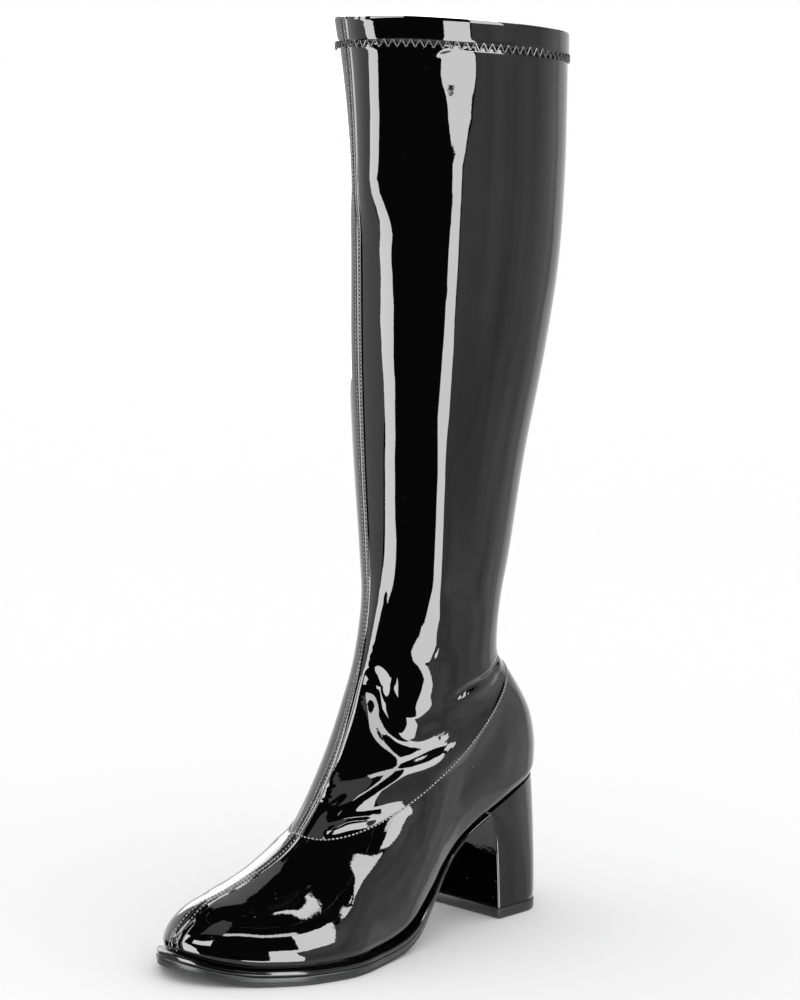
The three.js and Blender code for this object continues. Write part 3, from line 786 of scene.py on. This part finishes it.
# %% Slabs along the lasted edge
SOLE_EDGE = 2.4 * MM
WAIST_EDGE = 0.6 * MM
SOLE_END = 0.224
SOLE_STEPS = 90
SOLE_SHARP = 30
SOLE_TURN = np.pi * np.arange(SOLE_STEPS + 1) / SOLE_STEPS / 2
SOLE_PLACES = 1 - (1 - SOLE_END) * (1 - np.cos(SOLE_TURN))


def sole_edge(place):
    return mix(WAIST_EDGE, SOLE_EDGE, forepart(place))


def pushed_edge(places, out):
    """The lasted edge from above, from the toe backwards, pushed out sideways."""
    sides = []
    for sign, outer in ((1, True), (-1, False)):
        line = np.stack([centre_line(places) + sign * half_width(places, outer), along(places)], -1)
        mirror = line[1] * (-1, 1) + (2 * centre_line(places[1]), 0)
        before = np.vstack([mirror, line[:-1]])
        after = np.vstack([line[1:], line[-1:]])
        run = after - before
        run /= np.linalg.norm(run, axis=1, keepdims=True)
        sides.append(line + np.stack([run[:, 1], -run[:, 0]], -1) * sign * out[:, None])
    return sides


def slab(name, levels, materials, level_material):
    rings = []
    for out, height in levels:
        outer, inner = pushed_edge(SOLE_PLACES, out(SOLE_PLACES))
        flat = np.vstack([outer, inner[:0:-1]])
        heights = height(SOLE_PLACES)
        lifted = np.concatenate([heights, heights[:0:-1]])
        rings.append(np.column_stack([flat, lifted]))
    return stack(name, rings, materials, level_material, SOLE_SHARP)


# %% Welt and outsole
WELT_ROUND = 0.5 * MM
BAND_SHARE = 0.46
BAND_STEP = 0.5 * MM


def welt_piece():
    def bottom(p):
        return underside(p) + outsole_thickness(p)

    def level(inset, share):
        return (
            lambda p: sole_edge(p) - inset * WELT_ROUND,
            lambda p: mix(bottom(p), edge_height(p), share),
        )

    # How far in, in roundings, and how high, as a share of the welt.
    profile = ((0.9, 0), (0.3, 0.12), (0, 0.35), (0, 0.65), (0.3, 0.88), (1.1, 1))
    return slab("welt_bead", [level(*row) for row in profile], [welt_gloss], [0] * len(profile))


def outsole_piece():
    def level(inset, share):
        return (
            lambda p: sole_edge(p) - inset * BAND_STEP * forepart(p),
            lambda p: underside(p) + share * (outsole_thickness(p) - GAP),
        )

    # How far in, in steps, and how high, as a share of the outsole.
    profile = ((3, 0), (1.6, 0.02), (1.1, 0.08), (1, 0.2), (1, BAND_SHARE - 0.04), (0.9, BAND_SHARE),
               (0.1, BAND_SHARE + 0.02), (0, BAND_SHARE + 0.08), (0, 0.94), (0.4, 1))
    slots = [1, 1, 1, 1, 1, 0, 0, 0, 0, 0]
    return slab("outsole_bands", [level(*row) for row in profile], [sole_satin, sole_dull], slots)


welt = welt_piece()
outsole = outsole_piece()
report(welt)
report(outsole)


# %% [markdown]
# ## The heel
# The block heel is a D in section, flat in front where the breast is. The patent is wrapped round
# it and closed on the breast, so its front corners are slightly rolled. A rubber tip is nailed
# under it, with a fine dark line between. Half a section is drawn once, mirrored, and stacked.

# %% Heel
TIP_THICK = 5.6 * MM
TIP_GROOVE = 0.7 * MM
TIP_GROOVE_IN = 0.6 * MM
HEEL_BREAST = 21.7 * MM
HEEL_BACK = 21.7 * MM
HEEL_HALF_WIDTH = 29.7 * MM
HEEL_TOP_HALF_WIDTH = 28.6 * MM
HEEL_WAIST = 0.4 * MM
BREAST_LEAN = 2.4 * MM
BREAST_LIP = 5 * MM
BREAST_LIP_POWER = 5
CORNER_ROLL = 1.1 * MM
FOOT_ROUNDNESS = 2
TOP_ROUNDNESS = 2.3
FLAT_STEPS = 8
HEEL_SIDE_STEPS = 40
HEEL_CORNER_STEPS = 5
HEEL_LEVELS = 30
FIRST_RISE = 0.004
# The cover's lower edge: how far in, and how far under the block's own edge.
COVER_EDGE = ((TIP_GROOVE_IN, 0.2 * MM), (0.25 * MM, 0.05 * MM))


def heel_half(rise, inset):
    """Half of one section, from the middle of the breast round the corner to the back."""
    breast = -HEEL_BREAST - BREAST_LEAN * rise - BREAST_LIP * rise ** BREAST_LIP_POWER + inset
    waist = HEEL_WAIST * np.sin(np.pi * rise)
    back_line = mix(HEEL_BACK, SEAT_BACK, ease(0, 1, rise)) - waist - inset
    half = mix(HEEL_HALF_WIDTH, HEEL_TOP_HALF_WIDTH, rise) - inset
    straight = mix(0, breast, rise ** 2)
    power = mix(FOOT_ROUNDNESS, TOP_ROUNDNESS, rise)
    turn = np.linspace(0, np.pi / 2, HEEL_CORNER_STEPS)
    corner = np.column_stack([
        half - CORNER_ROLL + CORNER_ROLL * np.sin(turn),
        breast + CORNER_ROLL - CORNER_ROLL * np.cos(turn),
    ])
    start = max(straight, breast + 2 * CORNER_ROLL)
    share = np.sin(np.linspace(0, np.pi / 2, HEEL_SIDE_STEPS))
    y = mix(start, back_line, share)
    round_ = np.clip((y - straight) / (back_line - straight), 0, 1)
    side = np.column_stack([half * (1 - round_ ** power) ** (1 / power), y])
    flat_x = np.linspace(0, half - 2 * CORNER_ROLL, FLAT_STEPS)
    flat = np.column_stack([flat_x, np.full(FLAT_STEPS, breast)])
    return np.vstack([flat, corner, side])


def heel_stack(name, levels, material):
    rings = []
    for rise, inset, height in levels:
        half = heel_half(rise, inset)
        outline = np.vstack([half, (half * (-1, 1))[-2:0:-1]])
        rings.append(np.column_stack([outline, height(outline[:, 1])]))
    return stack(name, rings, [material], [0] * len(rings))


def heel_cover():
    foot_height = TIP_THICK + GAP
    block = foot_height + TIP_GROOVE

    def level(rise):
        return (rise, 0, lambda y: mix(block, edge_height(place_of(y)), rise))

    levels = [(0, TIP_GROOVE_IN, lambda y: np.full_like(y, foot_height))]
    for inset, under in COVER_EDGE:
        levels.append((0, inset, lambda y, under=under: np.full_like(y, block - under)))
    levels += [level(rise) for rise in np.linspace(FIRST_RISE, 1, HEEL_LEVELS)]
    return heel_stack("heel_cover", levels, foot_patent)


def heel_tip():
    # Height and inset of each level, in millimetres.
    profile = ((0, 0.8), (0.3, 0.2), (0.9, 0), (TIP_THICK / MM - 0.5, 0), (TIP_THICK / MM, 0.4))
    levels = [
        (0, inset * MM, lambda y, z=z: np.full_like(y, z * MM))
        for z, inset in profile
    ]
    return heel_stack("heel_tip_rubber", levels, tip_rubber)


cover = heel_cover()
tip = heel_tip()
report(cover)
report(tip)

# %% [markdown]
# ## Stitches
# A row of topstitching is the same small loop of thread over and over, so one node tree makes all
# the rows: it walks along a path at the stitch's pitch and lays a short bead of thread at each
# step. The zigzag of the hem is one thread that swings from side to side. Bump could draw both, but
# real threads catch the light at the boot's edges too.

# %% Node trees for a straight row and a zigzag
THREAD_SIDES = 6
SOFT_CORNER = 0.3 * MM


def geometry_tree(name, sizes):
    tree = bpy.data.node_groups.new(name, "GeometryNodeTree")
    socket(tree, "Path", "NodeSocketGeometry")
    socket(tree, "Thread", "NodeSocketMaterial")
    for size in sizes:
        socket(tree, size, "NodeSocketFloat", default=1 * MM)
    socket(tree, "Stitches", "NodeSocketGeometry", "OUTPUT")
    return tree


def walk_path(tree):
    """The first nodes of both trees: the inputs, and the path cut at the stitch's pitch."""
    inside = node(tree, "NodeGroupInput")
    curve = node(tree, "GeometryNodeMeshToCurve")
    steps = node(tree, "GeometryNodeResampleCurve", mode="LENGTH")
    wire(
        tree,
        (inside, "Path", curve, "Mesh"),
        (curve, "Curve", steps, "Curve"),
        (inside, "Pitch", steps, "Length"),
    )
    return inside, steps


def lay_thread(tree, inside, last, output):
    """The last nodes of both trees: a real mesh, smooth, in the thread's material."""
    real = node(tree, "GeometryNodeRealizeInstances")
    smooth = node(tree, "GeometryNodeSetShadeSmooth")
    paint = node(tree, "GeometryNodeSetMaterial")
    outside = node(tree, "NodeGroupOutput")
    wire(
        tree,
        (last, output, real, "Geometry"),
        (real, "Geometry", smooth, "Geometry"),
        (smooth, "Geometry", paint, "Geometry"),
        (inside, "Thread", paint, "Material"),
        (paint, "Geometry", outside, "Stitches"),
    )


def row_tree():
    tree = geometry_tree("stitch row", ("Pitch", "Length", "Thickness"))
    inside, steps = walk_path(tree)
    sides = {"Segments": THREAD_SIDES, "Rings": THREAD_SIDES, "Radius": 0.5}
    bead = node(tree, "GeometryNodeMeshUVSphere", sides)
    size = node(tree, "ShaderNodeCombineXYZ")
    shape = node(tree, "GeometryNodeTransform")
    direction = node(tree, "GeometryNodeInputTangent")
    turn = node(tree, "FunctionNodeAlignRotationToVector", axis="Z")
    place = node(tree, "GeometryNodeInstanceOnPoints")
    wire(
        tree,
        (inside, "Thickness", size, "X"),
        (inside, "Thickness", size, "Y"),
        (inside, "Length", size, "Z"),
        (bead, "Mesh", shape, "Geometry"),
        (size, "Vector", shape, "Scale"),
        (steps, "Curve", place, "Points"),
        (shape, "Geometry", place, "Instance"),
        (direction, "Tangent", turn, "Vector"),
        (turn, "Rotation", place, "Rotation"),
    )
    lay_thread(tree, inside, place, "Instances")
    return tree


def zigzag_tree():
    tree = geometry_tree("zigzag stitch", ("Pitch", "Swing", "Thickness"))
    inside, steps = walk_path(tree)
    index = node(tree, "GeometryNodeInputIndex")
    turn = node(tree, "ShaderNodeMath", {1: 2}, operation="MODULO")
    middle = node(tree, "ShaderNodeMath", {1: 0.5}, operation="SUBTRACT")
    swing = node(tree, "ShaderNodeMath", operation="MULTIPLY")
    rise = node(tree, "ShaderNodeCombineXYZ")
    move = node(tree, "GeometryNodeSetPosition")
    soft = node(tree, "GeometryNodeFilletCurve", {"Radius": SOFT_CORNER})
    outline = node(tree, "GeometryNodeCurvePrimitiveCircle", {"Resolution": THREAD_SIDES})
    radius = node(tree, "ShaderNodeMath", {1: 0.5}, operation="MULTIPLY")
    tube = node(tree, "GeometryNodeCurveToMesh", {"Fill Caps": True})
    wire(
        tree,
        (index, "Index", turn, 0),
        (turn, 0, middle, 0),
        (middle, 0, swing, 0),
        (inside, "Swing", swing, 1),
        (swing, 0, rise, "Z"),
        (steps, "Curve", move, "Geometry"),
        (rise, "Vector", move, "Offset"),
        (move, "Geometry", soft, "Curve"),
        (inside, "Thickness", radius, 0),
        (radius, 0, outline, "Radius"),
        (soft, "Curve", tube, "Curve"),
        (outline, "Curve", tube, "Profile Curve"),
    )
    lay_thread(tree, inside, tube, "Mesh")
    return tree


ROW_TREE = row_tree()
ZIGZAG_TREE = zigzag_tree()
print("stitch trees:", ROW_TREE.name, "and", ZIGZAG_TREE.name)


# %% Sew a path with one of the trees
def sew(name, tree, paths, closed=False, **values):
    """Runs a stitch tree over one or more paths and keeps the result as a plain mesh."""
    points, edges = [], []
    for path in paths:
        first = len(points)
        points += [tuple(p) for p in path]
        edges += [(first + i, first + i + 1) for i in range(len(path) - 1)]
        if closed:
            edges.append((len(points) - 1, first))
    mesh = bpy.data.meshes.new(name + " path")
    mesh.from_pydata(points, edges, [])
    carrier = bpy.data.objects.new(name + " path", mesh)
    bpy.context.scene.collection.objects.link(carrier)
    modifier = carrier.modifiers.new("stitches", "NODES")
    modifier.node_group = tree
    values = {"Thread": thread_black, **values}
    for item in tree.interface.items_tree:
        if item.item_type == "SOCKET" and item.in_out == "INPUT" and item.name in values:
            modifier[item.identifier] = values[item.name]
    depsgraph = bpy.context.evaluated_depsgraph_get()
    made = bpy.data.meshes.new_from_object(carrier.evaluated_get(depsgraph), depsgraph=depsgraph)
    bpy.data.objects.remove(carrier)
    made.name = name
    piece = bpy.data.objects.new(name, made)
    bpy.context.scene.collection.objects.link(piece)
    report(piece)
    return piece


def skin_path(grid, column_angle):
    """A path up a skin at a fixed angle, between the two nearest columns."""
    order = np.argsort(COLUMNS)
    angles = COLUMNS[order]
    i = np.clip(np.searchsorted(angles, column_angle), 1, len(angles) - 1)
    w = (column_angle - angles[i - 1]) / (angles[i] - angles[i - 1])
    return mix(grid[:, order[i - 1]], grid[:, order[i]], w)


# %% Sew the seams
TOPSTITCH_ANGLE = np.radians(2.7)
FOOT_ROW_BELOW = 3
TOPSTITCH = {"Pitch": 2.1 * MM, "Length": 1.6 * MM, "Thickness": 0.95 * MM}
FOOT_STITCH = {"Pitch": 2.1 * MM, "Length": 1.5 * MM, "Thickness": 1.2 * MM}
HEM_STITCH = {"Pitch": 2.3 * MM, "Swing": 4.6 * MM, "Thickness": 0.9 * MM}
ZIGZAG_OUT = 0.9 * MM

topstitch = []
for side in (-1, 1):
    topstitch.append(skin_path(foot_outer, side * TOPSTITCH_ANGLE)[2:-1])
    topstitch.append(skin_path(leg_outer, side * TOPSTITCH_ANGLE)[1:-1])
seam_stitches = sew("seam_topstitch", ROW_TREE, topstitch, **TOPSTITCH)
foot_row = foot_outer[-1 - FOOT_ROW_BELOW]
# The foot seam's stitches take the thread with the painted glint.
foot_stitches = sew(
    "foot_seam_stitch", ROW_TREE, [foot_row], True, Thread=thread_painted_glint, **FOOT_STITCH)
hem_index = np.abs(leg_rows - HEM_ROW).argmin()
hem_ring = leg_outer[hem_index]
hem_line = hem_ring + normals_of(leg_outer)[hem_index] * (1, 1, 0) * ZIGZAG_OUT
hem_stitches = sew("hem_zigzag", ZIGZAG_TREE, [hem_line], True, **HEM_STITCH)

# %% [markdown]
# ## Everything rides on the boot
# The boot has no moving part, so each piece rides on its one body. A piece that is finer than the
# model's own stands in for it.

# %% Tie the pieces to the model
root = "root"
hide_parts("foot_upper")
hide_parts("shaft")
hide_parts("welt")
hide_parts("outsole")
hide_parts("heel_block")
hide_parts("heel_tip")
pieces = {
    "patent": [foot, foot_stitches],
    "stretch_patent": [leg, seam_stitches, hem_stitches],
    "edge": [welt],
    "sole": [outsole],
    "heel_cover": [cover],
    "heel_tip": [tip],
}
for slot, members in pieces.items():
    for piece in members:
        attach(piece, root)
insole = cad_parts["insole"]
insole.data.materials.clear()
insole.data.materials.append(leg_lining)
print("pieces:", sum(len(members) for members in pieces.values()), "and the model's own insole")

# %% [markdown]
# ## The studio
# Black patent shows only what stands round it. Here that is a white surround, a dark gap on the
# camera's side, a tall softbox at each end of the gap, and smaller white, grey and black cards
# above and below. Painting these shapes on the boot would be easier, but they would stay put when
# it is seen from elsewhere. The floor curves up into a backdrop and is left out of the boot's
# reflections, where the surround takes its place.

# %% Floor and cards
FLOOR_FRONT = 3.0
FLOOR_BACK = 1.5
FLOOR_SIDE = 4.5
SWEEP_RADIUS = 1.2
SWEEP_STEPS = 24
BACKDROP_TOP = 4.0
WORLD_STRENGTH = 1.1
CARD_STEPS = 13
CLOUD_SCALE = 1.6
CLOUD_EDGE = {"From Min": 0.3, "From Max": 0.7}
FAR = 1.3
# Each row of a card: its distance, its height, and the azimuths it spans from the camera.
CARDS = (
    {"name": "left_softbox", "strength": 14,
     "rows": ((FAR, -0.5, -62, -40), (FAR, 0.05, -62, -40), (FAR, 0.3, -73, -49),
              (FAR, 0.42, -78, -60), (FAR, 1.1, -78, -62))},
    {"name": "toe_softbox", "strength": 14,
     "rows": ((FAR, 0.55, -48, -24), (FAR, 0.85, -48, -24))},
    {"name": "right_softbox", "strength": 14,
     "rows": ((FAR, -0.5, -4, 30), (FAR, -0.1, -4, 30), (FAR, 0.1, -2, 26), (FAR, 0.3, -2, 23),
              (FAR, 0.42, 26, 54), (FAR, 1.4, 26, 54))},
    {"name": "toe_flag", "strength": 0,
     "rows": ((0.3, -0.03, -32, -12), (0.3, 0.075, -32, -12))},
    {"name": "left_rim", "strength": 10,
     "rows": ((FAR, 0.5, -102, -86), (FAR, 1.8, -102, -86))},
    {"name": "dark_gap", "strength": 0,
     "rows": ((1.35, -0.5, -66, 26), (1.35, 1.7, -66, 26))},
    {"name": "grey_side", "strength": 0.8, "cloud": 0.35,
     "rows": ((1.4, -0.5, 22, 128), (1.4, 1.1, 22, 128))},
    {"name": "high_softbox", "strength": 13,
     "rows": ((1.2, 1.0, 58, 75), (1.1, 1.2, 57, 75), (0.6, 1.7, 54, 75), (0.15, 1.8, 54, 75))},
    {"name": "crescent_softbox", "strength": 12,
     "rows": ((1.25, 1.2, -16, 34), (1.25, 1.55, -16, 34))},
    {"name": "grey_ceiling", "strength": 1,
     "rows": ((1.25, 1.25, -50, -16), (0.6, 1.85, -50, -16))},
    {"name": "dark_front", "strength": 0,
     "rows": ((1.6, 0.8, -135, 145), (1.0, 1.95, -135, 145))},
    {"name": "dark_ceiling", "strength": 0,
     "rows": ((1.0, 1.95, -180, 180), (0.02, 1.95, -180, 180))},
    {"name": "back_glare", "strength": 5,
     "rows": ((1.5, 0.15, -186, -146), (1.5, 1.1, -186, -146))},
    # A black card under the floor, seen only in reflections: painted shade, standing in for the floor's
    # shade on the left.
    {"name": "floor_shade_card_left", "strength": 0,
     "rows": ((FAR, -0.5, -135, -64), (FAR, -0.17, -135, -64))},
)


def studio_sweep():
    """A pale floor that curves up behind the boot, square to the camera."""
    turn = np.linspace(0, np.pi / 2, SWEEP_STEPS)
    run = np.concatenate([[-FLOOR_FRONT], FLOOR_BACK + SWEEP_RADIUS * np.sin(turn)])
    rise = np.concatenate([[0], SWEEP_RADIUS * (1 - np.cos(turn)), [BACKDROP_TOP]])
    run = np.append(run, run[-1])
    points = [
        side * FLOOR_SIDE * right - back * a + up * b
        for a, b in zip(run, rise) for side in (-1, 1)
    ]
    faces = [(2 * i, 2 * i + 1, 2 * i + 3, 2 * i + 2) for i in range(len(run) - 1)]
    material = grained("studio floor", (0.93, 0.93, 0.93), 0.9, 30, 0.0, 0.0)
    piece = new_piece("studio_sweep", points, faces, [material])
    piece.visible_glossy = False


def card(name, rows, strength, cloud=0.0):
    """A card seen only in reflections. With a cloud, its light is uneven by that share."""
    material = bpy.data.materials.new(name)
    material.use_nodes = True
    tree = material.node_tree
    tree.nodes.clear()
    glow = node(tree, "ShaderNodeEmission", {"Color": (1, 1, 1, 1), "Strength": strength})
    out = node(tree, "ShaderNodeOutputMaterial")
    wire(tree, (glow, "Emission", out, "Surface"))
    if cloud:
        place = node(tree, "ShaderNodeTexCoord")
        noise = node(tree, "ShaderNodeTexNoise", {"Scale": CLOUD_SCALE})
        limits = {"To Min": strength * (1 - cloud), "To Max": strength * (1 + cloud)}
        spread = node(tree, "ShaderNodeMapRange", {**CLOUD_EDGE, **limits})
        wire(
            tree,
            (place, "Object", noise, "Vector"),
            (noise, "Fac", spread, "Value"),
            (spread, "Result", glow, "Strength"),
        )
    points = []
    for distance, height, first, last in rows:
        for a in np.radians(np.linspace(first, last, CARD_STEPS)):
            points.append((right * np.sin(a) + back * np.cos(a)) * distance + up * height)
    faces = [
        (k, k + 1, k + 1 + CARD_STEPS, k + CARD_STEPS)
        for row in range(len(rows) - 1)
        for k in range(row * CARD_STEPS, (row + 1) * CARD_STEPS - 1)
    ]
    piece = new_piece(name, points, faces, [material])
    piece.visible_camera = piece.visible_diffuse = piece.visible_shadow = False


def studio_light():
    world = bpy.data.worlds.new("studio")
    world.use_nodes = True
    surround = world.node_tree.nodes["Background"]
    surround.inputs["Color"].default_value = (1, 1, 1, 1)
    surround.inputs["Strength"].default_value = WORLD_STRENGTH
    bpy.context.scene.world = world


studio_sweep()
for entry in CARDS:
    card(**entry)
studio_light()
bpy.context.scene.view_settings.view_transform = "Standard"
print("cards:", len(CARDS), "and the floor")
